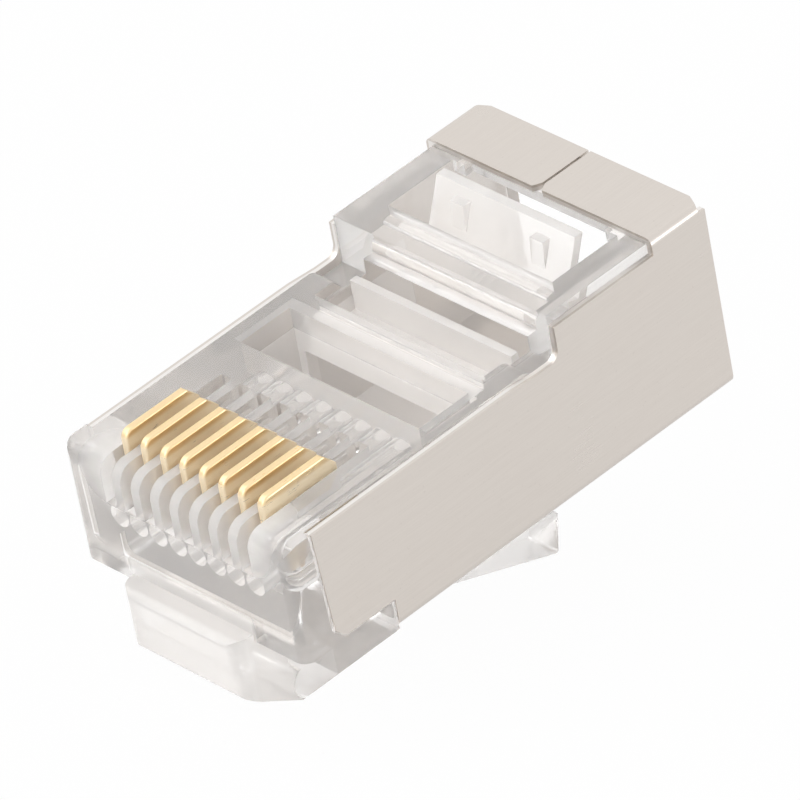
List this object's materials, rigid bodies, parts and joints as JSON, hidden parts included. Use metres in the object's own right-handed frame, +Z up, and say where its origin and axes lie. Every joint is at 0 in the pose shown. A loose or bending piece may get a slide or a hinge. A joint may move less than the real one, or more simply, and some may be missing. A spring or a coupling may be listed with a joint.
{
  "type": "rj45 modular plug",
  "caption": "Shielded modular plug, not yet crimped: clear housing with a sprung latch, folded metal shell and gold contact blades standing proud.",
  "frame": {"origin": "on the surface it lies on, under the middle of the whole plug", "axes": "+Y from the nose towards the cable end, +X across to the right seen from the nose's end, +Z up; the plug lies on its latch, so its own length slopes up towards the cable end"},
  "size_m": [0.0116, 0.0225, 0.015],
  "materials": {
    "clear_plastic": "clear polycarbonate, gloss",
    "nickel_shell": "satin nickel plate on sheet",
    "gold_contact": "gold plate on bronze"
  },
  "bodies": {
    "plug": {"housing": "clear_plastic", "shield_shell": "nickel_shell"},
    "latch_arm": {"latch": "clear_plastic"},
    "conductor_bar": {"conductor_clamp": "clear_plastic"},
    "jacket_bar": {"jacket_clamp": "clear_plastic"},
    "blade_1": {"contact_1": "gold_contact"},
    "blade_2": {"contact_2": "gold_contact"},
    "blade_3": {"contact_3": "gold_contact"},
    "blade_4": {"contact_4": "gold_contact"},
    "blade_5": {"contact_5": "gold_contact"},
    "blade_6": {"contact_6": "gold_contact"},
    "blade_7": {"contact_7": "gold_contact"},
    "blade_8": {"contact_8": "gold_contact"}
  },
  "joints": [
    {"name": "latch_flex", "type": "hinge", "parent": "plug", "child": "latch_arm", "pos_m": [0, -0.00757, 0.00072], "axis": [1, 0, 0], "range_deg": [0, 10], "stiffness_Nm_per_rad": 0.2},
    {"name": "conductor_crimp", "type": "hinge", "parent": "plug", "child": "conductor_bar", "pos_m": [0, 0.00021, 0.00919], "axis": [-1, 0, 0], "range_deg": [0, 25]},
    {"name": "jacket_crimp", "type": "hinge", "parent": "plug", "child": "jacket_bar", "pos_m": [0, 0.00367, 0.01202], "axis": [-1, 0, 0], "range_deg": [0, 25]},
    {"name": "blade_1_press", "type": "slide", "parent": "plug", "child": "blade_1", "axis": [0, 0.2198, -0.9755], "range_m": [0, 0.0009]},
    {"name": "blade_2_press", "type": "slide", "parent": "plug", "child": "blade_2", "axis": [0, 0.2198, -0.9755], "range_m": [0, 0.0009]},
    {"name": "blade_3_press", "type": "slide", "parent": "plug", "child": "blade_3", "axis": [0, 0.2198, -0.9755], "range_m": [0, 0.0009]},
    {"name": "blade_4_press", "type": "slide", "parent": "plug", "child": "blade_4", "axis": [0, 0.2198, -0.9755], "range_m": [0, 0.0009]},
    {"name": "blade_5_press", "type": "slide", "parent": "plug", "child": "blade_5", "axis": [0, 0.2198, -0.9755], "range_m": [0, 0.0009]},
    {"name": "blade_6_press", "type": "slide", "parent": "plug", "child": "blade_6", "axis": [0, 0.2198, -0.9755], "range_m": [0, 0.0009]},
    {"name": "blade_7_press", "type": "slide", "parent": "plug", "child": "blade_7", "axis": [0, 0.2198, -0.9755], "range_m": [0, 0.0009]},
    {"name": "blade_8_press", "type": "slide", "parent": "plug", "child": "blade_8", "axis": [0, 0.2198, -0.9755], "range_m": [0, 0.0009]}
  ]
}
